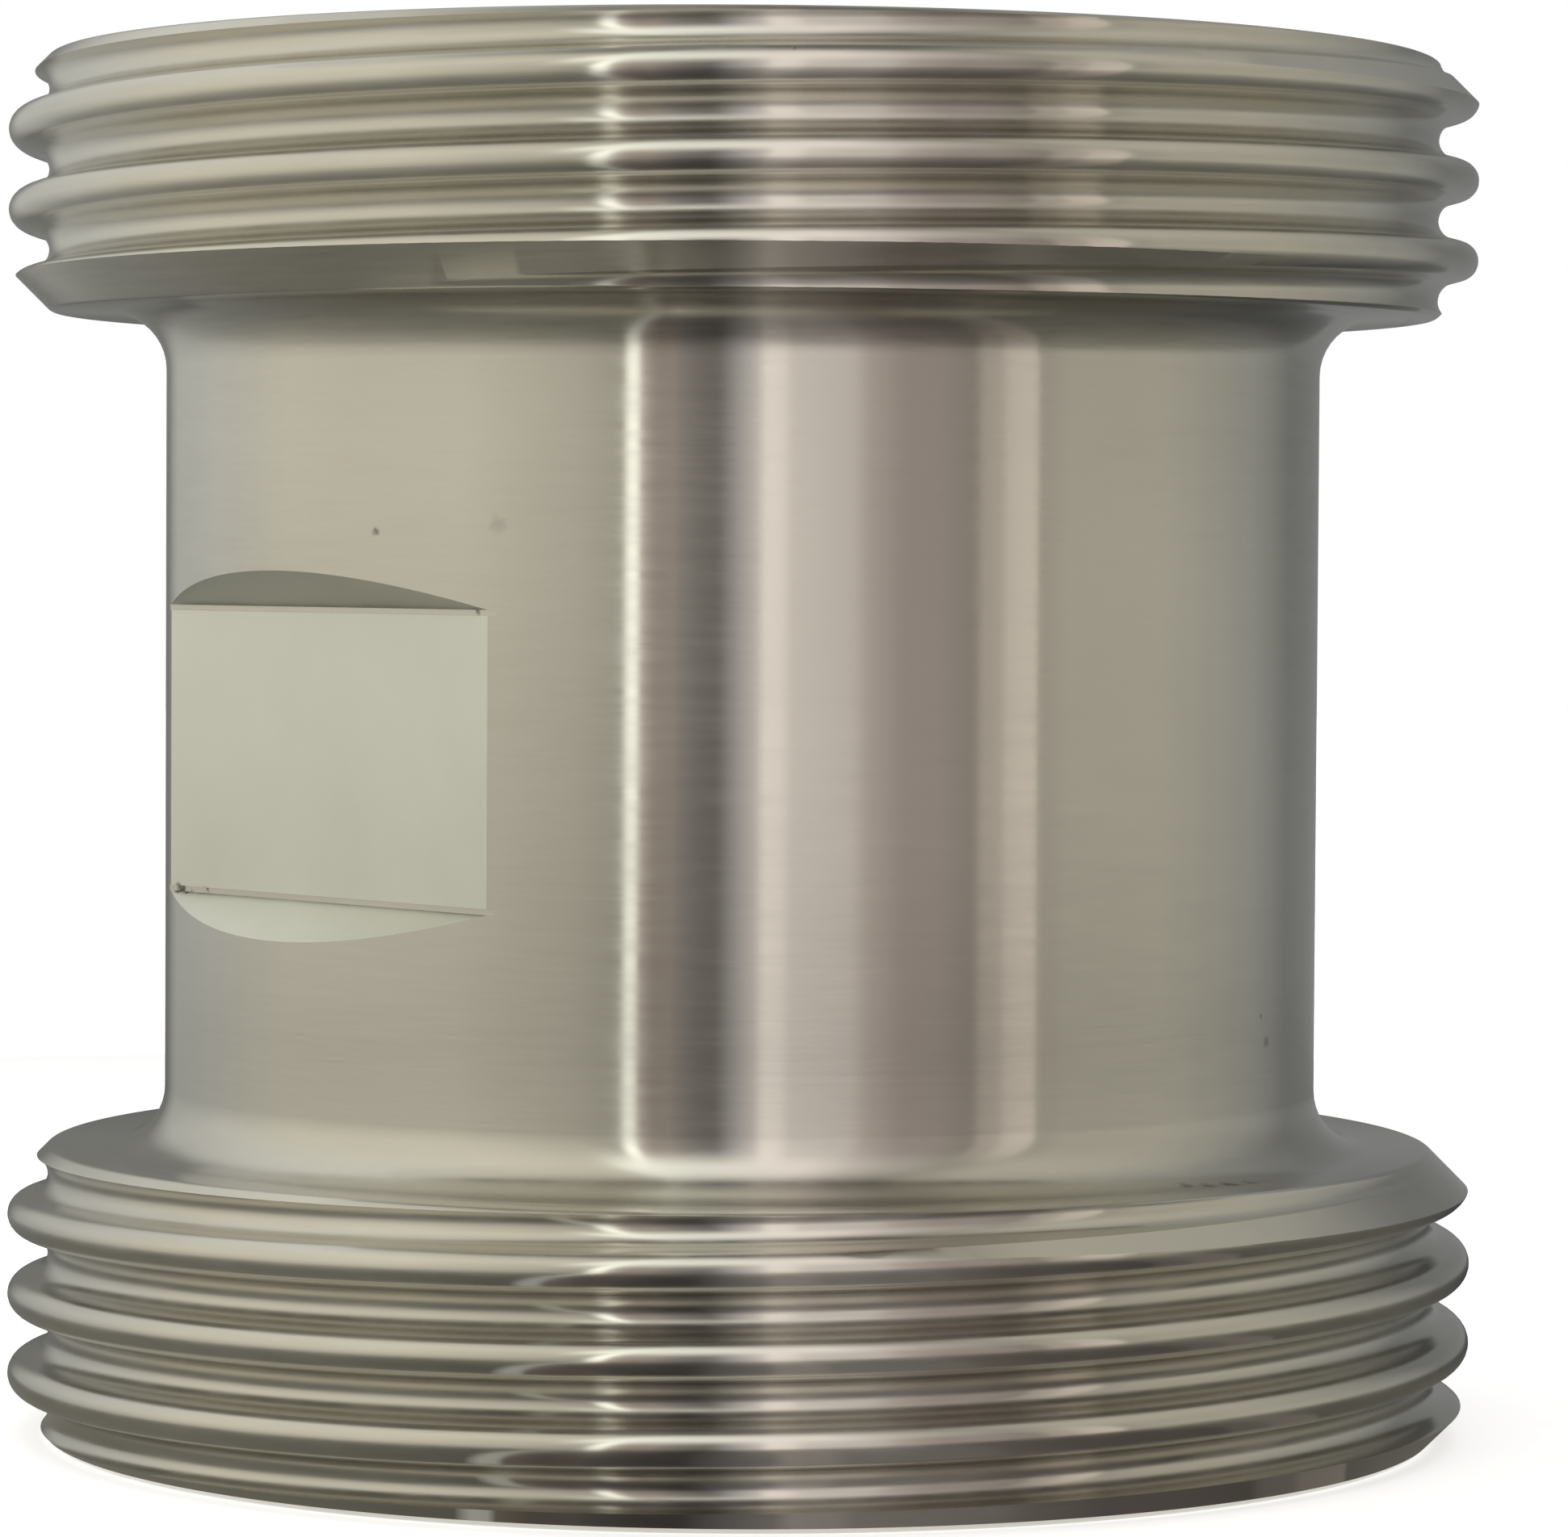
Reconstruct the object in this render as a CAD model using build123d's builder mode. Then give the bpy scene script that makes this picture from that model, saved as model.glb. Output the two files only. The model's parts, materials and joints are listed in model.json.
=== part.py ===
from build123d import *
from math import ceil, cos, radians, sin, tan
import os

# Round thread on both collars, right-hand, six turns to the inch and half a pitch deep
thread_diameter = 78.0
thread_turns_per_inch = 6
thread_depth_share = 0.5

# Turned body: two threaded collars on a plain neck
sms_collar_height = 15.5
din_collar_height = 13.5
neck_height = 44.0
neck_diameter = 61.4
neck_fillet = 3.0

# Rounded forms drawn with few flats: each crest and root as one, this share of the pitch wide
thread_flat_share = 0.23
neck_fillet_flats = 2

# Rims of the collars, chamfered down to just below the thread root
rim_step = 0.1
rim_chamfer_angle = 45.0

# Where each thread starts: height of a crest above its collar's lower face, on the +X side
sms_crest_height = 1.25
din_crest_height = 3.2

# Bore and the seats in its two mouths
bore_diameter = 50.0
din_seal_diameter = 64.0
din_seal_clearance = 0.2
din_seal_seat_depth = 5.0
din_mouth_cone_angle = 15.0
din_mouth_cone_length = 2.5
sms_gasket_diameter = 61.8
sms_gasket_clearance = 0.2
sms_gasket_seat_depth = 3.5

# Two opposite wrench flats milled into the neck
across_flats = 55.0
flat_height = 15.0
flat_above_sms_collar = 12.5
flat_shoulder_angle = 30.0

# How far a cutting shape runs past the metal
overrun = 1.0

# Sizes worked out from the ones above
thread_pitch = 25.4 / thread_turns_per_inch
thread_flat = thread_flat_share * thread_pitch
crest_radius = thread_diameter / 2
root_radius = crest_radius - thread_depth_share * thread_pitch
blank_radius = crest_radius + overrun
rim_radius = root_radius - rim_step
rim_chamfer = (blank_radius - rim_radius) * tan(radians(rim_chamfer_angle))
neck_radius = neck_diameter / 2
flare_radius = neck_radius + neck_fillet
neck_bottom = sms_collar_height
neck_top = neck_bottom + neck_height
total_height = neck_top + din_collar_height
bore_radius = bore_diameter / 2
core_radius = bore_radius - overrun
gasket_seat_radius = (sms_gasket_diameter + sms_gasket_clearance) / 2
seal_seat_radius = (din_seal_diameter + din_seal_clearance) / 2
cone_bottom = total_height - din_mouth_cone_length
seal_seat_bottom = cone_bottom - din_seal_seat_depth
mouth_radius = seal_seat_radius + din_mouth_cone_length * tan(radians(din_mouth_cone_angle))
flat_bottom = neck_bottom + flat_above_sms_collar
flat_top = flat_bottom + flat_height
flat_y = across_flats / 2
cut_y = neck_radius + overrun
shoulder_rise = (cut_y - flat_y) * tan(radians(flat_shoulder_angle))


def helix_at(radius, height):
    """One turn of the thread's line, from a point on the +X side."""
    return Helix(thread_pitch, thread_pitch, radius, center=(0, 0, height))


def helical_strip(start, end):
    """Face that the line between two (radius, height) points sweeps in one turn of the thread."""
    return Face.make_surface_from_curves(helix_at(*start), helix_at(*end))


def raised(faces, turns):
    """Copies of the faces, set whole numbers of turns up the thread."""
    return [face.moved(Location((0, 0, thread_pitch * turn))) for turn in turns for face in faces]


def threaded_ring(crest_height, first_turn, last_turn):
    """A ring with the thread outside, whole turns high, and a hole that the bore takes away later."""
    bottom = crest_height - thread_flat / 2
    crest_bottom = (crest_radius, bottom)
    crest_top = (crest_radius, bottom + thread_flat)
    root_bottom = (root_radius, bottom + thread_pitch / 2)
    root_top = (root_radius, bottom + thread_pitch / 2 + thread_flat)
    next_crest = (crest_radius, bottom + thread_pitch)
    core_bottom = (core_radius, bottom)
    core_top = (core_radius, bottom + thread_pitch)

    # Faces that every turn repeats, and those that close the first and the last turn
    one_turn = [
        helical_strip(crest_bottom, crest_top),
        helical_strip(crest_top, root_bottom),
        helical_strip(root_bottom, root_top),
        helical_strip(root_top, next_crest),
        helical_strip(core_bottom, core_top),
    ]
    section = [core_bottom, crest_bottom, crest_top, root_bottom, root_top, next_crest, core_top]
    closing = [
        helical_strip(core_bottom, crest_bottom),
        Face(Wire.make_polygon([(radius, 0, height) for radius, height in section])),
    ]
    faces = raised(one_turn, range(first_turn, last_turn)) + raised(closing, (first_turn, last_turn))
    return Solid(Shell(faces))


def threaded_collar(bottom, height, crest_height):
    """A collar whose thread runs out at its two chamfered rims."""
    first_turn = -ceil(crest_height / thread_pitch) - 1
    last_turn = ceil((height - crest_height) / thread_pitch) + 1
    with BuildPart() as collar:
        add(threaded_ring(bottom + crest_height, first_turn, last_turn))
        with BuildSketch(Plane.XZ):
            with BuildLine():
                Polyline(
                    (bore_radius, bottom),
                    (rim_radius, bottom),
                    (blank_radius, bottom + rim_chamfer),
                    (blank_radius, bottom + height - rim_chamfer),
                    (rim_radius, bottom + height),
                    (bore_radius, bottom + height),
                    close=True,
                )
            make_face()
        revolve(mode=Mode.INTERSECT)
    return collar.part


def fillet_points(collar_face, away):
    """Points of the fillet from a collar's face to the neck, which lies up (1) or down (-1) from it."""
    angles = [radians(90 * step / neck_fillet_flats) for step in range(neck_fillet_flats + 1)]
    return [
        (flare_radius - neck_fillet * sin(angle), collar_face + away * neck_fillet * (1 - cos(angle)))
        for angle in angles
    ]


sms_collar = threaded_collar(0, sms_collar_height, sms_crest_height)
din_collar = threaded_collar(neck_top, din_collar_height, din_crest_height)

with BuildPart() as adapter_body:
    add(sms_collar)
    add(din_collar)

    # Neck, running into both collars with a fillet
    with BuildSketch(Plane.XZ):
        with BuildLine():
            Polyline(
                (0, neck_bottom),
                *fillet_points(neck_bottom, 1),
                *reversed(fillet_points(neck_top, -1)),
                (0, neck_top),
                close=True,
            )
        make_face()
    revolve()

    # Bore with the gasket seat below and the seal seat and its cone above
    with BuildSketch(Plane.XZ):
        with BuildLine():
            Polyline(
                (0, 0),
                (gasket_seat_radius, 0),
                (gasket_seat_radius, sms_gasket_seat_depth),
                (bore_radius, sms_gasket_seat_depth),
                (bore_radius, seal_seat_bottom),
                (seal_seat_radius, seal_seat_bottom),
                (seal_seat_radius, cone_bottom),
                (mouth_radius, total_height),
                (0, total_height),
                close=True,
            )
        make_face()
    revolve(mode=Mode.SUBTRACT)

    # Wrench flats with sloping shoulders, on the -Y and +Y sides
    for side in (-1, 1):
        with BuildSketch(Plane.YZ):
            with BuildLine():
                Polyline(
                    (side * flat_y, flat_bottom),
                    (side * cut_y, flat_bottom - shoulder_rise),
                    (side * cut_y, flat_top + shoulder_rise),
                    (side * flat_y, flat_top),
                    close=True,
                )
            make_face()
        extrude(amount=cut_y, both=True, mode=Mode.SUBTRACT)

adapter_body.part.label = "adapter_body"
os.makedirs("parts", exist_ok=True)
export_step(adapter_body.part, "parts/adapter_body.step")
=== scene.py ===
import json
import math

import bpy
from mathutils import Matrix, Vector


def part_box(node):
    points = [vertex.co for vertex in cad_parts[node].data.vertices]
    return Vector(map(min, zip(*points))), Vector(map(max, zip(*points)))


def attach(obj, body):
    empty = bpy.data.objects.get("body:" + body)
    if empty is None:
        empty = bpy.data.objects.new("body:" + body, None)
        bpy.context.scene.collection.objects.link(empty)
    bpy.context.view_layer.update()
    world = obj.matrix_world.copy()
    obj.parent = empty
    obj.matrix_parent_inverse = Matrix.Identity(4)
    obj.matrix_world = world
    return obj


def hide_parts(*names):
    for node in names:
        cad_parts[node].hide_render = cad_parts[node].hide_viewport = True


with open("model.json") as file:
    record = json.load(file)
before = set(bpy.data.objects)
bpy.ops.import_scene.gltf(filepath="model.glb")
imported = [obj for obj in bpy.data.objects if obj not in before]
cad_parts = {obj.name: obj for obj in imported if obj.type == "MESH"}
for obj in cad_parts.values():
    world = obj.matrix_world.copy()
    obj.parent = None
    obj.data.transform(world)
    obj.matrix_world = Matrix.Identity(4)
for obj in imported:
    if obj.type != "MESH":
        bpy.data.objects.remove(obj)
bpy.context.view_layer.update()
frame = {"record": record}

MM = 0.001

# Sizes that the frame gives
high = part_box("adapter_body")[1]
mounts = {mount["name"]: mount for mount in frame["record"]["mounts"]}
seal_seat = mounts["din_seal_seat"]
gasket_seat = mounts["sms_gasket_seat"]
wrench_flat = mounts["wrench_flat_back"]
HEIGHT = high[2]
CREST_R = high[0]
BORE_R = mounts["flow_bore"]["dims"]["r_mm"] * MM
SEAL_SEAT_R = seal_seat["dims"]["r_mm"] * MM
SEAL_SEAT_DEPTH = seal_seat["dims"]["length_mm"] * MM
MOUTH_CONE = HEIGHT - seal_seat["pos_m"][2] - SEAL_SEAT_DEPTH / 2
GASKET_SEAT_R = gasket_seat["dims"]["r_mm"] * MM
GASKET_SEAT_DEPTH = gasket_seat["dims"]["length_mm"] * MM
FLAT_Y = wrench_flat["pos_m"][1]

# The photograph shows the wrench flats this much higher than the frame has them
FLAT_RISE = 1.1 * MM
FLAT_Z = wrench_flat["pos_m"][2] + FLAT_RISE

# Turned body
LOWER_COLLAR = 15.5 * MM
UPPER_COLLAR = 13.5 * MM
NECK_TOP = HEIGHT - UPPER_COLLAR
NECK_R = 30.7 * MM
NECK_FILLET = 3.0 * MM
FLARE_R = NECK_R + NECK_FILLET
MOUTH_CONE_ANGLE = math.radians(15)
MOUTH_R = SEAL_SEAT_R + MOUTH_CONE * math.tan(MOUTH_CONE_ANGLE)

# Round thread, right-hand, six turns to the inch
PITCH = 25.4 / 6 * MM
FLANK_ANGLE = math.radians(15)
ROUND_R = 0.23851 * PITCH
ROOT_R = CREST_R - PITCH / 2
RIM_R = ROOT_R - 0.1 * MM

# Height of a crest above its collar's lower face, on the +X side
LOWER_CREST = 0.55 * MM
UPPER_CREST = 2.54 * MM

# Milled wrench flats
FLAT_HEIGHT = 15.0 * MM
FLAT_SHOULDER_ANGLE = math.radians(30)
SHOULDER_REACH = 3 * MM

# Fine line that the milling cutter leaves in the corner between a flat and its shoulders
CORNER_LINE_HEIGHT = 0.30 * MM
CORNER_LINE_DEPTH = 0.20 * MM

# Rims and mouths are broken by hand with a fine file
EDGE_BREAK = 0.22 * MM

# Fineness of the round forms
TURN_STEPS = 144
ARC_STEPS = 14
BODY_STEPS = 180
FILLET_STEPS = 10
NECK_STEPS = 10
EDGE_STEPS = 3
SMOOTH_ANGLE = math.radians(20)

# Distances at which points are merged or found again
THREAD_MERGE = 0.004 * MM
BODY_MERGE = 0.01 * MM
CORNER_FIND = 0.02 * MM

# Stock left on the blank, and the size of the cutting tools
BLANK_R = CREST_R + 1.0 * MM
DIE_R = CREST_R + 5.0 * MM
CUTTER_WIDTH = 60 * MM
CUTTER_DEPTH = 6 * MM

# Marks of use, and painted shade in the corner at the foot of the lower fillet, one per line: place and size
# in millimetres, and how dark
MARKS_AND_PAINTED_SHADE = [
    ((7.44, -29.79, 47.93), 0.30, 0.55),
    ((14.11, -27.26, 48.26), 0.55, 0.14),
    ((-12.95, -27.45, 29.20), 0.42, 0.9),
    ((-12.10, -27.45, 29.05), 0.25, 0.9),
    ((-10.60, -27.45, 29.25), 0.26, 0.8),
    ((12.60, -27.45, 44.05), 0.30, 0.6),
    ((25.02, 25.12, 59.55), 0.35, 0.7),
    ((31.22, -22.83, 70.81), 0.22, 0.8),
    ((28.45, 11.54, 21.99), 0.40, 0.3),
    ((28.60, 10.90, 23.40), 0.22, 0.35),
    # The five marks at 15.5 mm high are painted shade, not marks of use: a dark row in the corner where the
    # lower fillet meets the lower collar's upper face
    ((33.00, 1.60, 15.50), 0.55, 0.55),
    ((33.30, 2.90, 15.50), 0.60, 0.65),
    ((33.40, 4.30, 15.50), 0.75, 0.75),
    ((33.30, 5.80, 15.50), 0.60, 0.60),
    ((33.10, 7.10, 15.50), 0.40, 0.45),
]
MARK_AND_SHADE_COLOUR = (0.055, 0.045, 0.035, 1)
MARK_AND_SHADE_CORE = 0.35
MARK_AND_SHADE_RAGGED = 0.5 * MM

# Tints of the light tent's panels
SAGE = (1.00, 1.0, 0.94)
BEIGE = (1.045, 1.0, 0.855)
GLARE = (1.00, 1.0, 0.92)
WINE = (1.17, 1.0, 0.895)
ROSE = (1.09, 1.0, 0.95)
PEARL = (1.05, 1.0, 1.0)
MAUVE = (1.15, 1.0, 0.94)
CLAY = (1.11, 1.0, 0.89)
SLATE = (0.985, 1.0, 0.99)

# Panels of the tent, one stop per line: degrees round the object as its neck shows them, where 0
# is towards the camera and + is to its right, then brightness and tint
LEFT_STRIP = [
    (-180, 0.20, SAGE),
    (-163, 0.22, SAGE),
    (-152, 0.54, SAGE),
    (-128, 0.69, SAGE),
    (-100, 0.79, BEIGE),
    (-56, 0.79, BEIGE),
    (-32, 0.63, BEIGE),
    (-22.6, 0.50, BEIGE),
    (-22.1, 1.85, GLARE),
    (-20.2, 1.85, GLARE),
    (-19.7, 0.55, WINE),
    (-17.4, 0.42, WINE),
    (-17.0, 0.36, WINE),
    (-12.8, 0.37, WINE),
    (-12.2, 0.32, ROSE),
    (-8.5, 0.23, ROSE),
    (-4.6, 0.19, ROSE),
    (-1.8, 0.42, PEARL),
    (0, 0.56, PEARL),
]
RIGHT_STRIP = [
    (0, 0.56, PEARL),
    (3.4, 0.80, ROSE),
    (3.8, 1.16, ROSE),
    (8.4, 1.04, ROSE),
    (8.9, 0.85, ROSE),
    (21.3, 0.71, ROSE),
    (24, 0.53, MAUVE),
    (31, 0.385, MAUVE),
    (38.5, 0.37, MAUVE),
    (45.8, 0.31, CLAY),
    (47.2, 0.50, CLAY),
    (51.6, 0.53, CLAY),
    (52.0, 0.68, CLAY),
    (59.0, 0.77, CLAY),
    (59.4, 0.44, BEIGE),
    (66, 0.52, BEIGE),
    (90, 0.52, BEIGE),
    (120, 0.38, SAGE),
    (138, 0.22, SLATE),
    (180, 0.22, SLATE),
]
UPPER_STRIP = [
    (-180, 0.45, SAGE),
    (-150, 0.82, SAGE),
    (-60, 0.85, BEIGE),
    (-33, 0.80, BEIGE),
    (-27, 1.50, GLARE),
    (-14, 1.25, GLARE),
    (16, 1.15, ROSE),
    (34, 0.66, ROSE),
    (52, 0.42, BEIGE),
    (68, 0.64, BEIGE),
    (105, 0.58, BEIGE),
    (140, 0.40, SAGE),
    (180, 0.42, SAGE),
]

# Light tent: a round wall with a lid, and a dark sheet just above the floor. Each pair of levels
# runs from the lower or inner end to the upper or outer end of its pair of places.
TENT_R = 250 * MM
TENT_HEIGHT = 350 * MM
TENT_SIDES = 180
LEFT_LEVELS = (0.78, 1.08)
RIGHT_LEVELS = (1.16, 0.98)
LEVEL_PLACES = (0, 75 * MM)
SIDES_MEET = (-0.3, 0.3)
UPPER_STRIP_PLACES = (110 * MM, 250 * MM)
LID_LEVELS = (0.35, 0.95)
LID_PLACES = (70 * MM, 170 * MM)
SHEET_LEVELS = (0.24, 0.76)
SHEET_PLACES = (60 * MM, TENT_R)
SHEET_HEIGHT = 0.3 * MM

# Floor and room
FLOOR_R = 1.5
FLOOR_SIDES = 96
FLOOR_COLOUR = (0.85, 0.86, 0.88, 1)
FLOOR_GLOW = 0.62
ROOM_COLOUR = (0.8, 0.8, 0.78, 1)
WHITE = (1, 1, 1, 1)

# Camera, fitted to the outline in the photograph
CAMERA_AZIMUTH = math.radians(50.37)
CAMERA_REACH = 332.2 * MM
CAMERA_HEIGHT = 46.97 * MM
CAMERA_LENS = 142.41
CAMERA_SENSOR = 36
CAMERA_PAN = math.radians(0.394)
CAMERA_TILT = math.radians(1.99)
CAMERA_ROLL = math.radians(0.328)


# The body, made as in the workshop: a turned blank, two thread dies and two milled flats

def let_go():
    """Leaves edit mode and selects nothing."""
    if bpy.context.object and bpy.context.object.mode != "OBJECT":
        bpy.ops.object.mode_set(mode="OBJECT")
    bpy.ops.object.select_all(action="DESELECT")


def take(piece):
    """Selects one piece, and nothing else."""
    let_go()
    piece.select_set(True)
    bpy.context.view_layer.objects.active = piece


def start_point(name, x, z):
    """A new piece with one point of its profile, in edit mode."""
    let_go()
    bpy.ops.mesh.primitive_plane_add(size=MM, location=(0, 0, 0))
    piece = bpy.context.object
    piece.name = piece.data.name = name
    bpy.ops.object.mode_set(mode="EDIT")
    bpy.ops.mesh.select_mode(type="VERT")
    bpy.ops.mesh.select_all(action="SELECT")
    bpy.ops.mesh.merge(type="CENTER")
    bpy.ops.transform.translate(value=(x, 0, z))
    return piece


def run_by(x, z):
    """Carries the profile on by a straight run."""
    bpy.ops.mesh.extrude_region_move(TRANSFORM_OT_translate={"value": (x, 0, z)})


def run_round(x, z, angle, steps):
    """Carries the profile on round a centre."""
    bpy.ops.mesh.spin(steps=steps, angle=angle, center=(x, 0, z), axis=(0, 1, 0))


def merge_doubles(distance):
    """Merges the points of the whole piece that lie on each other."""
    bpy.ops.mesh.select_all(action="SELECT")
    bpy.ops.mesh.remove_doubles(threshold=distance)


def pick(piece, chosen):
    """Selects the points whose places pass a test, and nothing else."""
    bpy.ops.mesh.select_mode(type="VERT")
    bpy.ops.mesh.select_all(action="DESELECT")
    bpy.ops.object.mode_set(mode="OBJECT")
    for point in piece.data.vertices:
        point.select = chosen(point.co)
    bpy.ops.object.mode_set(mode="EDIT")
    bpy.ops.mesh.select_mode(type="VERT")


def thread_die(name, bottom, top, crest):
    """A ring whose inside is the thread. Its section is the whole height, and rises a pitch a turn."""
    sweep = math.pi - 2 * FLANK_ANGLE
    rise = ROUND_R * math.sin(FLANK_ANGLE)
    half = ROUND_R * math.cos(FLANK_ANGLE)
    crest_centre = CREST_R - ROUND_R
    root_centre = ROOT_R + ROUND_R
    flank_out = root_centre - crest_centre - 2 * rise
    flank_up = PITCH / 2 - 2 * half
    inner = crest_centre + rise

    # Whole pitches, with more than one to spare below and above the collar
    below = math.ceil((crest - bottom) / PITCH + 1.1)
    pitches = below + math.ceil((top - crest) / PITCH + 1.1)
    start = crest - below * PITCH

    piece = start_point(name, DIE_R, start - half)
    run_by(inner - DIE_R, 0)
    for turn in range(pitches):
        z = start + turn * PITCH
        run_round(crest_centre, z, sweep, ARC_STEPS)
        run_by(flank_out, flank_up)
        run_round(root_centre, z + PITCH / 2, -sweep, ARC_STEPS)
        run_by(-flank_out, flank_up)
    run_by(DIE_R - inner, 0)
    for turn in range(pitches):
        run_by(0, -PITCH)
    merge_doubles(THREAD_MERGE)
    bpy.ops.object.mode_set(mode="OBJECT")

    helix = piece.modifiers.new("helix", "SCREW")
    helix.angle = 2 * math.pi
    helix.screw_offset = PITCH
    helix.steps = TURN_STEPS
    helix.render_steps = TURN_STEPS
    bpy.ops.object.modifier_apply(modifier=helix.name)

    bpy.ops.object.mode_set(mode="EDIT")
    merge_doubles(THREAD_MERGE)
    bpy.ops.mesh.select_all(action="SELECT")
    bpy.ops.mesh.fill_holes(sides=0)
    bpy.ops.mesh.select_all(action="SELECT")
    bpy.ops.mesh.normals_make_consistent(inside=False)
    bpy.ops.object.mode_set(mode="OBJECT")
    return piece


def blank():
    """The turned body before its threads and flats are cut, from one profile."""
    chamfer = BLANK_R - RIM_R
    quarter = -math.pi / 2
    neck_run = NECK_TOP - LOWER_COLLAR - 2 * NECK_FILLET
    piece = start_point("adapter", GASKET_SEAT_R, 0)

    # Lower collar
    run_by(RIM_R - GASKET_SEAT_R, 0)
    run_by(chamfer, chamfer)
    run_by(0, LOWER_COLLAR - 2 * chamfer)
    run_by(-chamfer, chamfer)

    # Neck
    run_by(FLARE_R - RIM_R, 0)
    run_round(FLARE_R, LOWER_COLLAR + NECK_FILLET, quarter, FILLET_STEPS)
    for step in range(NECK_STEPS):
        run_by(0, neck_run / NECK_STEPS)
    run_round(FLARE_R, NECK_TOP - NECK_FILLET, quarter, FILLET_STEPS)
    run_by(RIM_R - FLARE_R, 0)

    # Upper collar
    run_by(chamfer, chamfer)
    run_by(0, UPPER_COLLAR - 2 * chamfer)
    run_by(-chamfer, chamfer)

    # Mouth cone, seal seat, bore and gasket seat
    run_by(MOUTH_R - RIM_R, 0)
    run_by(SEAL_SEAT_R - MOUTH_R, -MOUTH_CONE)
    run_by(0, -SEAL_SEAT_DEPTH)
    run_by(BORE_R - SEAL_SEAT_R, 0)
    run_by(0, GASKET_SEAT_DEPTH + MOUTH_CONE + SEAL_SEAT_DEPTH - HEIGHT)
    run_by(GASKET_SEAT_R - BORE_R, 0)
    run_by(0, -GASKET_SEAT_DEPTH)
    merge_doubles(BODY_MERGE)

    # Rims and mouths broken, then the profile turned round the axis
    broken = [(GASKET_SEAT_R, 0), (MOUTH_R, HEIGHT)]
    broken += [(RIM_R, z) for z in (0, LOWER_COLLAR, NECK_TOP, HEIGHT)]
    pick(piece, lambda place: any(math.dist((place.x, place.z), corner) < CORNER_FIND for corner in broken))
    bpy.ops.mesh.bevel(offset=EDGE_BREAK, segments=EDGE_STEPS, affect="VERTICES")
    bpy.ops.mesh.select_all(action="SELECT")
    bpy.ops.mesh.spin(steps=BODY_STEPS, angle=2 * math.pi, center=(0, 0, 0), axis=(0, 0, 1))
    merge_doubles(BODY_MERGE)
    bpy.ops.mesh.normals_make_consistent(inside=False)
    bpy.ops.object.mode_set(mode="OBJECT")
    return piece


def block(place, size):
    """A plain block for a cutting tool."""
    let_go()
    bpy.ops.mesh.primitive_cube_add(size=1, location=place, scale=size)
    bpy.ops.object.transform_apply(location=True, rotation=True, scale=True)
    return bpy.context.object


def flat_cutter(side):
    """A block over one wrench flat, wider at its outer face by the sloping shoulders."""
    middle = FLAT_Y + CUTTER_DEPTH / 2
    tool = block((0, side * middle, FLAT_Z), (CUTTER_WIDTH, CUTTER_DEPTH, FLAT_HEIGHT))
    bpy.ops.object.mode_set(mode="EDIT")
    pick(tool, lambda place: abs(place.y) > middle)
    wider = 1 + 2 * CUTTER_DEPTH * math.tan(FLAT_SHOULDER_ANGLE) / FLAT_HEIGHT
    bpy.ops.transform.resize(value=(1, 1, wider), center_override=(0, 0, FLAT_Z))
    bpy.ops.object.mode_set(mode="OBJECT")
    return tool


def corner_line_cutter(side, edge):
    """A thin blade that marks the corner along a flat's upper (1) or lower (-1) edge."""
    height = FLAT_Z + edge * (FLAT_HEIGHT - CORNER_LINE_HEIGHT) / 2
    return block((0, side * FLAT_Y, height), (CUTTER_WIDTH, 2 * CORNER_LINE_DEPTH, CORNER_LINE_HEIGHT))


def cut(piece, tool):
    """Takes the tool's form out of the piece."""
    take(piece)
    step = piece.modifiers.new("cut", "BOOLEAN")
    step.operation = "DIFFERENCE"
    step.solver = "EXACT"
    step.object = tool
    bpy.ops.object.modifier_apply(modifier=step.name)
    bpy.data.objects.remove(tool)


def is_milled(face):
    """True for a face of a wrench flat or of its shoulders."""
    half = FLAT_HEIGHT / 2
    outwards, height = abs(face.center.y), abs(face.center.z - FLAT_Z)
    on_flat = abs(face.normal.y) > 0.99 and abs(outwards - FLAT_Y) < 0.01 * MM and height < half
    on_shoulder = abs(face.normal.z) > 0.8 and outwards > FLAT_Y and half < height < half + SHOULDER_REACH
    return on_flat or on_shoulder


# Nodes that the materials share

def new_material(name):
    material = bpy.data.materials.new(name)
    material.use_nodes = True
    nodes = material.node_tree.nodes
    nodes.clear()
    return material, nodes, material.node_tree.links


def finish_with(nodes, links, shader):
    """Links the material's last shader to its output."""
    links.new(shader, nodes.new("ShaderNodeOutputMaterial").inputs[0])


def math_node(nodes, links, operation, *values):
    """A sum on numbers or on other nodes' outputs."""
    node = nodes.new("ShaderNodeMath")
    node.operation = operation
    for socket, value in zip(node.inputs, values):
        if isinstance(value, (int, float)):
            socket.default_value = value
        else:
            links.new(value, socket)
    return node.outputs[0]


def object_place(nodes, links):
    """Object coordinates, whole and as x, y and z."""
    coords = nodes.new("ShaderNodeTexCoord").outputs["Object"]
    split = nodes.new("ShaderNodeSeparateXYZ")
    links.new(coords, split.inputs[0])
    return coords, *split.outputs


def off_axis(nodes, links, x, y):
    """Distance from the bore's axis."""
    y_squared = math_node(nodes, links, "MULTIPLY", y, y)
    return math_node(nodes, links, "SQRT", math_node(nodes, links, "MULTIPLY_ADD", x, x, y_squared))


def noise(nodes, links, vector, scale, detail, roughness=0.5):
    node = nodes.new("ShaderNodeTexNoise")
    node.inputs["Scale"].default_value = scale
    node.inputs["Detail"].default_value = detail
    node.inputs["Roughness"].default_value = roughness
    links.new(vector, node.inputs["Vector"])
    return node.outputs[0]


def spread(nodes, links, value, low, high, source=(0.3, 0.7)):
    """Spreads a range of the value, at first the middle of a noise, from low to high."""
    node = nodes.new("ShaderNodeMapRange")
    node.inputs["From Min"].default_value = source[0]
    node.inputs["From Max"].default_value = source[1]
    node.inputs["To Min"].default_value = low
    node.inputs["To Max"].default_value = high
    links.new(value, node.inputs["Value"])
    return node.outputs[0]


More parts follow.
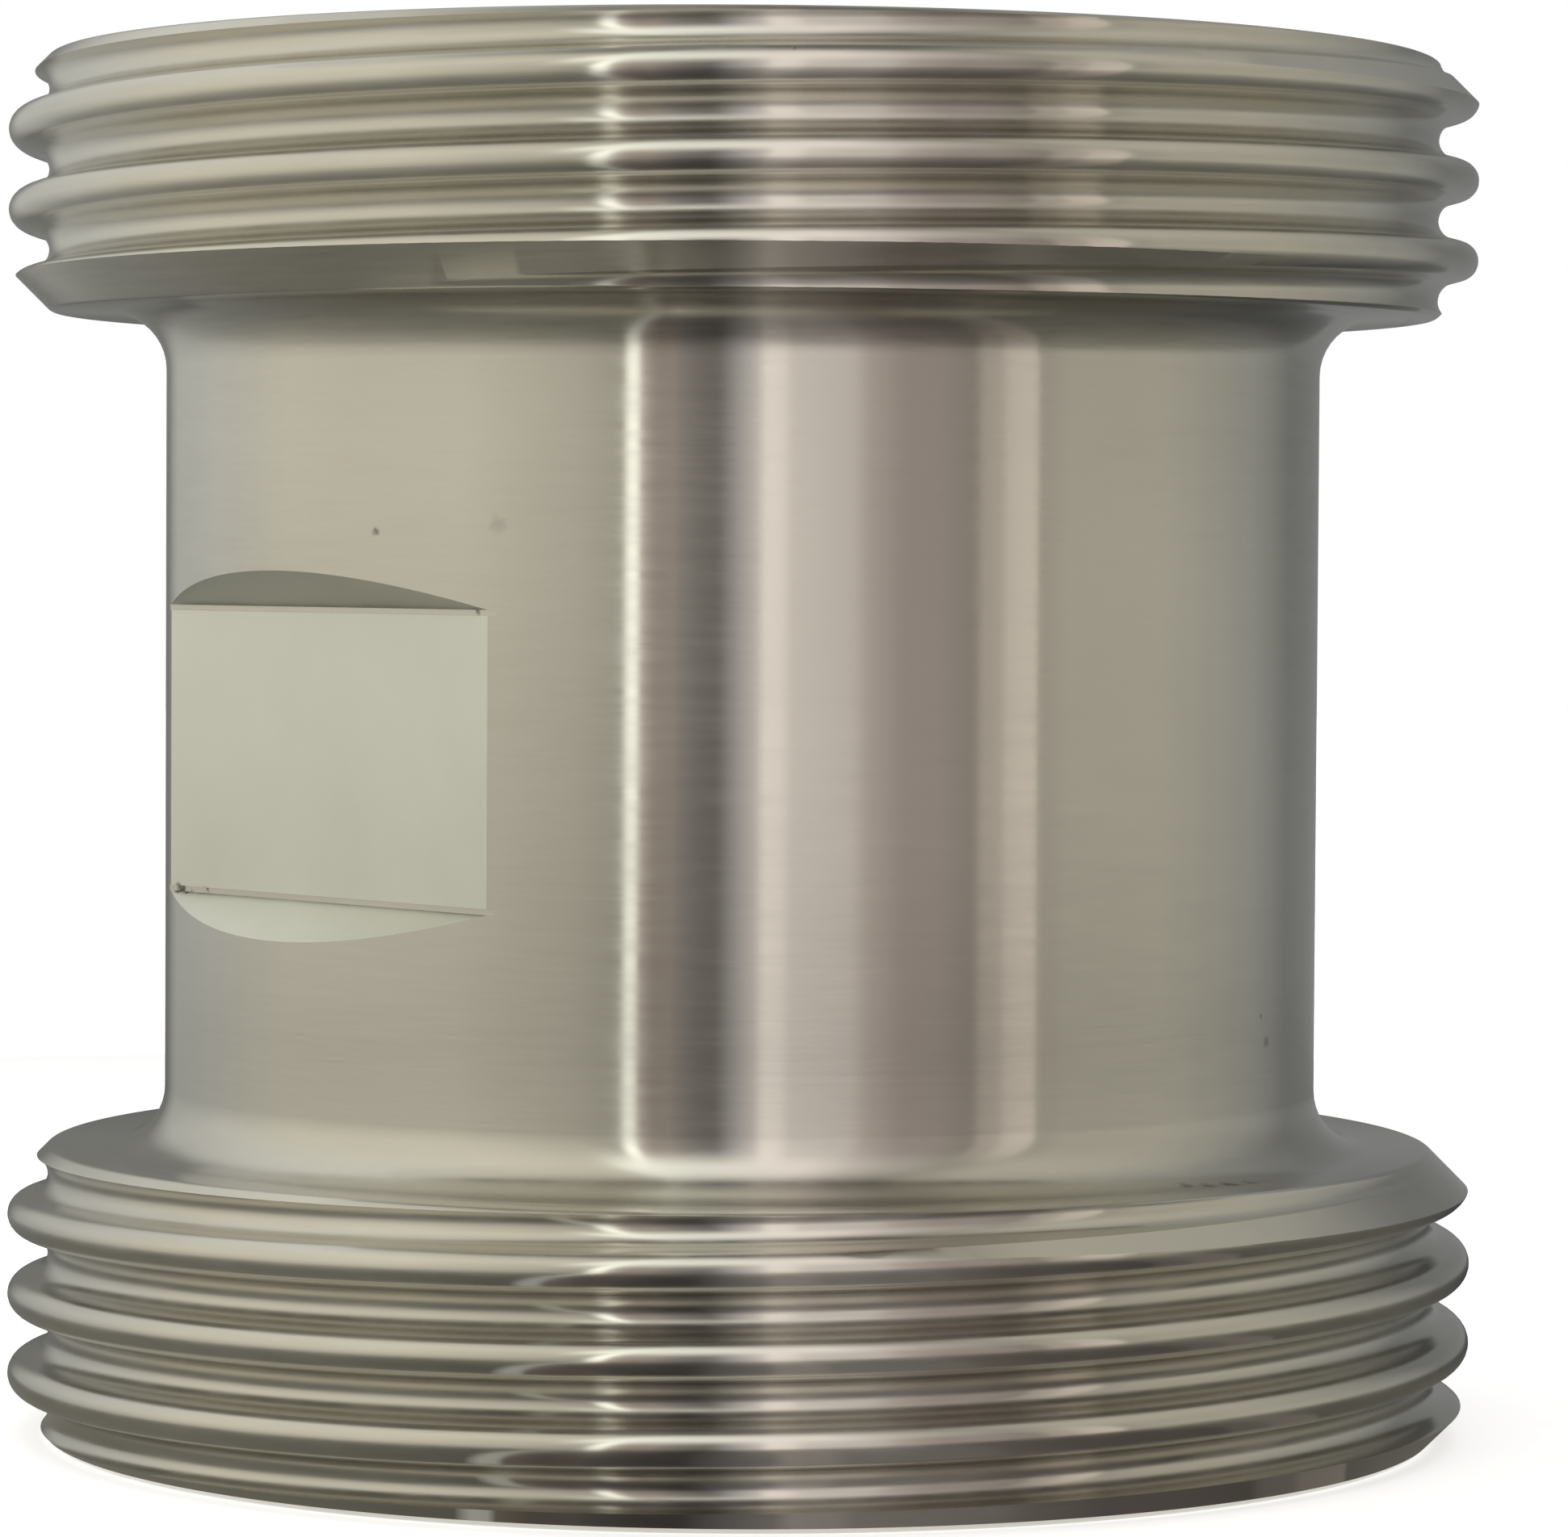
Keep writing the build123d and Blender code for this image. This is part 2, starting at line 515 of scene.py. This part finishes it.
def tinted(nodes, links, value, dark, pale):
    """Colour between a dark and a pale one, over the middle of a noise."""
    ramp = nodes.new("ShaderNodeValToRGB")
    for element, position, colour in zip(ramp.color_ramp.elements, (0.3, 0.7), (dark, pale)):
        element.position = position
        element.color = (*colour, 1)
    links.new(value, ramp.inputs[0])
    return ramp.outputs[0]


def mixed(nodes, links, share, first, second):
    node = nodes.new("ShaderNodeMix")
    node.data_type = "RGBA"
    links.new(share, node.inputs["Factor"])
    links.new(first, node.inputs["A"])
    links.new(second, node.inputs["B"])
    return node.outputs["Result"]


def bumps(nodes, links, height, strength, distance, under=None):
    node = nodes.new("ShaderNodeBump")
    node.inputs["Strength"].default_value = strength
    node.inputs["Distance"].default_value = distance
    links.new(height, node.inputs["Height"])
    if under is not None:
        links.new(under, node.inputs["Normal"])
    return node.outputs[0]


def seen_directly(nodes, links):
    """1 for what the camera, metal or glass looks at, 0 for the light that it gives off."""
    rays = nodes.new("ShaderNodeLightPath").outputs
    mirrored = math_node(nodes, links, "MAXIMUM", rays["Is Glossy Ray"], rays["Is Transmission Ray"])
    return math_node(nodes, links, "MAXIMUM", rays["Is Camera Ray"], mirrored)


# Steel

def mark_and_shade_darkness(nodes, links, coords):
    """How dark the marks of use and the painted shade in the lower fillet's corner make each place, 0 on
    clean steel.
    """
    ragged = nodes.new("ShaderNodeTexNoise")
    ragged.inputs["Scale"].default_value = 2500
    links.new(coords, ragged.inputs["Vector"])
    wander = nodes.new("ShaderNodeVectorMath")
    wander.operation = "MULTIPLY_ADD"
    links.new(ragged.outputs["Color"], wander.inputs[0])
    wander.inputs[1].default_value = (MARK_AND_SHADE_RAGGED,) * 3
    links.new(coords, wander.inputs[2])
    total = None
    for place, size, darkness in MARKS_AND_PAINTED_SHADE:
        away = nodes.new("ShaderNodeVectorMath")
        away.operation = "DISTANCE"
        links.new(wander.outputs[0], away.inputs[0])
        away.inputs[1].default_value = [part * MM + MARK_AND_SHADE_RAGGED / 2 for part in place]
        edges = (MARK_AND_SHADE_CORE * size * MM, size * MM)
        mark = spread(nodes, links, away.outputs["Value"], darkness, 0, edges)
        total = mark if total is None else math_node(nodes, links, "MAXIMUM", total, mark)
    return total


def darkened(nodes, links, colour, share):
    """The colour with the dark brown of the marks of use and of the painted shade mixed in."""
    node = nodes.new("ShaderNodeMix")
    node.data_type = "RGBA"
    links.new(share, node.inputs["Factor"])
    links.new(colour, node.inputs["A"])
    node.inputs["B"].default_value = MARK_AND_SHADE_COLOUR
    return node.outputs["Result"]


def metal(nodes, links, colour, roughness, normal, anisotropic):
    """The steel's shader, with its shine drawn out across the tool marks."""
    shader = nodes.new("ShaderNodeBsdfPrincipled")
    shader.inputs["Metallic"].default_value = 1
    shader.inputs["Anisotropic"].default_value = anisotropic
    shader.inputs["Anisotropic Rotation"].default_value = 0.25
    tangent = nodes.new("ShaderNodeTangent")
    tangent.direction_type = "RADIAL"
    tangent.axis = "Z"
    links.new(colour, shader.inputs["Base Color"])
    links.new(roughness, shader.inputs["Roughness"])
    links.new(normal, shader.inputs["Normal"])
    links.new(tangent.outputs[0], shader.inputs["Tangent"])
    finish_with(nodes, links, shader.outputs[0])


def turned_steel():
    """Steel off the lathe: marks run round the axis, the shine is drawn out along it."""
    material, nodes, links = new_material("turned_steel")
    coords, x, y, z = object_place(nodes, links)
    along = math_node(nodes, links, "MULTIPLY_ADD", off_axis(nodes, links, x, y), 0.7, z)

    def ring_coords(round_share):
        """Coordinates that change slowly round the axis, for marks that run round it."""
        turn = nodes.new("ShaderNodeCombineXYZ")
        links.new(math_node(nodes, links, "MULTIPLY", x, round_share), turn.inputs[0])
        links.new(math_node(nodes, links, "MULTIPLY", y, round_share), turn.inputs[1])
        links.new(along, turn.inputs[2])
        return turn.outputs[0]

    marks = noise(nodes, links, ring_coords(0.02), 3600, 3)
    streaks = noise(nodes, links, ring_coords(0.12), 1500, 3, 0.6)
    blotches = noise(nodes, links, coords, 55, 4)
    half_blotches = math_node(nodes, links, "MULTIPLY", blotches, 0.5)
    blend = math_node(nodes, links, "MULTIPLY_ADD", streaks, 0.5, half_blotches)
    colour = tinted(nodes, links, blend, (0.565, 0.55, 0.50), (0.655, 0.64, 0.59))

    # Marks of use, and the painted shade at the lower fillet, are darker and less shiny
    marks_and_shade = mark_and_shade_darkness(nodes, links, coords)
    colour = darkened(nodes, links, colour, marks_and_shade)
    roughness = spread(nodes, links, streaks, 0.13, 0.20)
    roughness = math_node(nodes, links, "MULTIPLY_ADD", marks_and_shade, 0.3, roughness)

    normal = bumps(nodes, links, marks, 0.2, 0.01 * MM)
    normal = bumps(nodes, links, streaks, 0.2, 0.02 * MM, normal)
    metal(nodes, links, colour, roughness, normal, 1.0)
    return material


def milled_steel():
    """The wrench flats: a fine milled face, more matt than the turned steel, with soft blotches."""
    material, nodes, links = new_material("milled_steel")
    coords = nodes.new("ShaderNodeTexCoord").outputs["Object"]
    stretch = nodes.new("ShaderNodeMapping")
    stretch.inputs["Scale"].default_value = (0.05, 1, 1)
    links.new(coords, stretch.inputs["Vector"])
    marks = noise(nodes, links, stretch.outputs[0], 4200, 2)
    blotches = noise(nodes, links, coords, 130, 4)
    colour = tinted(nodes, links, blotches, (0.72, 0.73, 0.67), (0.79, 0.80, 0.74))
    colour = darkened(nodes, links, colour, mark_and_shade_darkness(nodes, links, coords))
    roughness = spread(nodes, links, blotches, 0.36, 0.44)
    normal = bumps(nodes, links, marks, 0.15, 0.01 * MM)
    metal(nodes, links, colour, roughness, normal, 0.3)
    return material


# Studio

def stands_at(degrees):
    """Where a panel stands so that the neck, nearer to the tent than its axis, shows it at these degrees."""
    return degrees - math.degrees(NECK_R / TENT_R * math.sin(math.radians(degrees) / 2))


def light_strip(nodes, links, angle, stops):
    """A strip of light whose colour runs from stop to stop round the object."""
    first, last = stands_at(stops[0][0]), stands_at(stops[-1][0])
    share = spread(nodes, links, angle, 0, 1, (math.radians(first), math.radians(last)))
    ramp = nodes.new("ShaderNodeValToRGB")
    elements = ramp.color_ramp.elements
    while len(elements) < len(stops):
        elements.new(1.0)
    for element, (degrees, level, tint) in zip(elements, stops):
        element.position = (stands_at(degrees) - first) / (last - first)
        element.color = (*[level * part for part in tint], 1)
    links.new(share, ramp.inputs[0])
    return ramp.outputs[0]


def panels(nodes, links, angle):
    """The tent's panels all round, from the strips at the left and at the right."""
    left = light_strip(nodes, links, angle, LEFT_STRIP)
    right = light_strip(nodes, links, angle, RIGHT_STRIP)
    return mixed(nodes, links, math_node(nodes, links, "GREATER_THAN", angle, 0), left, right)


def round_tent(nodes, links):
    """Direction round the object, 0 towards the camera and + to its right, height and radius."""
    _, x, y, z = object_place(nodes, links)
    angle = math_node(nodes, links, "ARCTAN2", x, math_node(nodes, links, "MULTIPLY", y, -1))
    return angle, z, off_axis(nodes, links, x, y)


def glow_with(nodes, links, colour, strength):
    """Makes the material give off light."""
    light = nodes.new("ShaderNodeEmission")
    links.new(colour, light.inputs["Color"])
    links.new(strength, light.inputs["Strength"])
    finish_with(nodes, links, light.outputs[0])


def tent_panels():
    """Wall of the tent, with its panels low down and broader light higher up."""
    material, nodes, links = new_material("tent_panels")
    angle, z, _ = round_tent(nodes, links)
    low = panels(nodes, links, angle)
    high = light_strip(nodes, links, angle, UPPER_STRIP)
    colour = mixed(nodes, links, spread(nodes, links, z, 0, 1, UPPER_STRIP_PLACES), low, high)
    left = spread(nodes, links, z, *LEFT_LEVELS, LEVEL_PLACES)
    right = spread(nodes, links, z, *RIGHT_LEVELS, LEVEL_PLACES)
    to_right = spread(nodes, links, angle, 0, 1, SIDES_MEET)
    more = math_node(nodes, links, "SUBTRACT", right, left)
    glow_with(nodes, links, colour, math_node(nodes, links, "MULTIPLY_ADD", to_right, more, left))
    return material


def tent_lid():
    """Roof of the tent, dark in the middle."""
    material, nodes, links = new_material("tent_lid")
    angle, _, radius = round_tent(nodes, links)
    colour = light_strip(nodes, links, angle, UPPER_STRIP)
    glow_with(nodes, links, colour, spread(nodes, links, radius, *LID_LEVELS, LID_PLACES))
    return material


def dark_sheet():
    """Sheet round the foot of the object, paler towards the tent."""
    material, nodes, links = new_material("dark_sheet")
    angle, _, radius = round_tent(nodes, links)
    colour = panels(nodes, links, angle)
    glow_with(nodes, links, colour, spread(nodes, links, radius, *SHEET_LEVELS, SHEET_PLACES))
    return material


def pale_floor():
    """Pale matt floor that reads white to the eye and in the steel, and takes the object's shadow."""
    material, nodes, links = new_material("pale_floor")
    diffuse = nodes.new("ShaderNodeBsdfDiffuse")
    diffuse.inputs["Color"].default_value = FLOOR_COLOUR
    glow = nodes.new("ShaderNodeEmission")
    glow.inputs["Color"].default_value = WHITE
    strength = math_node(nodes, links, "MULTIPLY", seen_directly(nodes, links), FLOOR_GLOW)
    links.new(strength, glow.inputs["Strength"])
    both = nodes.new("ShaderNodeAddShader")
    links.new(diffuse.outputs[0], both.inputs[0])
    links.new(glow.outputs[0], both.inputs[1])
    finish_with(nodes, links, both.outputs[0])
    return material


def hang(name, material, lights_floor):
    """Makes the new round shape a part of the tent, turned with the camera, which doesn't see it."""
    part = bpy.context.object
    part.name = name
    bpy.ops.object.transform_apply(location=True, rotation=False, scale=False)
    part.rotation_euler = (0, 0, CAMERA_AZIMUTH)
    part.data.materials.append(material)
    part.visible_camera = False
    part.visible_shadow = False
    part.visible_diffuse = lights_floor


def disc(radius, sides, height):
    let_go()
    place = (0, 0, height)
    bpy.ops.mesh.primitive_circle_add(vertices=sides, radius=radius, fill_type="NGON", location=place)


# Adapter
body = blank()
cut(body, thread_die("lower_die", 0, LOWER_COLLAR, LOWER_CREST))
cut(body, thread_die("upper_die", NECK_TOP, HEIGHT, NECK_TOP + UPPER_CREST))
for side in (-1, 1):
    cut(body, flat_cutter(side))
    for edge in (-1, 1):
        cut(body, corner_line_cutter(side, edge))
take(body)
bpy.ops.object.shade_smooth_by_angle(angle=SMOOTH_ANGLE)
body.data.materials.clear()
body.data.materials.append(turned_steel())
body.data.materials.append(milled_steel())
for face in body.data.polygons:
    face.material_index = 1 if is_milled(face) else 0
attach(body, "root")
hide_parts("adapter_body")

# Floor and light tent
disc(FLOOR_R, FLOOR_SIDES, 0)
floor = bpy.context.object
floor.name = "floor"
floor.data.materials.append(pale_floor())

let_go()
bpy.ops.mesh.primitive_cylinder_add(
    vertices=TENT_SIDES, radius=TENT_R, depth=TENT_HEIGHT,
    end_fill_type="NOTHING", location=(0, 0, TENT_HEIGHT / 2),
)
hang("light_tent", tent_panels(), True)
disc(TENT_R, TENT_SIDES, TENT_HEIGHT)
hang("tent_lid", tent_lid(), False)
disc(TENT_R, TENT_SIDES, SHEET_HEIGHT)
hang("dark_sheet", dark_sheet(), False)

# Room: white where it is looked at, a little warmer as light
world = bpy.data.worlds.new("studio")
bpy.context.scene.world = world
world.use_nodes = True
nodes, links = world.node_tree.nodes, world.node_tree.links
nodes.clear()
white = nodes.new("ShaderNodeBackground")
white.inputs["Color"].default_value = WHITE
plain = nodes.new("ShaderNodeBackground")
plain.inputs["Color"].default_value = ROOM_COLOUR
mix = nodes.new("ShaderNodeMixShader")
links.new(seen_directly(nodes, links), mix.inputs[0])
links.new(plain.outputs[0], mix.inputs[1])
links.new(white.outputs[0], mix.inputs[2])
out = nodes.new("ShaderNodeOutputWorld")
links.new(mix.outputs[0], out.inputs[0])

# Camera
camera_data = bpy.data.cameras.new("camera")
camera_data.lens = CAMERA_LENS
camera_data.sensor_width = CAMERA_SENSOR
camera_data.clip_start = 0.01
camera = bpy.data.objects.new("camera", camera_data)
bpy.context.collection.objects.link(camera)
camera_place = (
    math.sin(CAMERA_AZIMUTH) * CAMERA_REACH,
    -math.cos(CAMERA_AZIMUTH) * CAMERA_REACH,
    CAMERA_HEIGHT,
)
camera.matrix_world = (
    Matrix.Translation(camera_place)
    @ Matrix.Rotation(CAMERA_AZIMUTH - CAMERA_PAN, 4, "Z")
    @ Matrix.Rotation(math.pi / 2 - CAMERA_TILT, 4, "X")
    @ Matrix.Rotation(CAMERA_ROLL, 4, "Z")
)
bpy.context.scene.camera = camera
bpy.context.scene.view_settings.view_transform = "Standard"
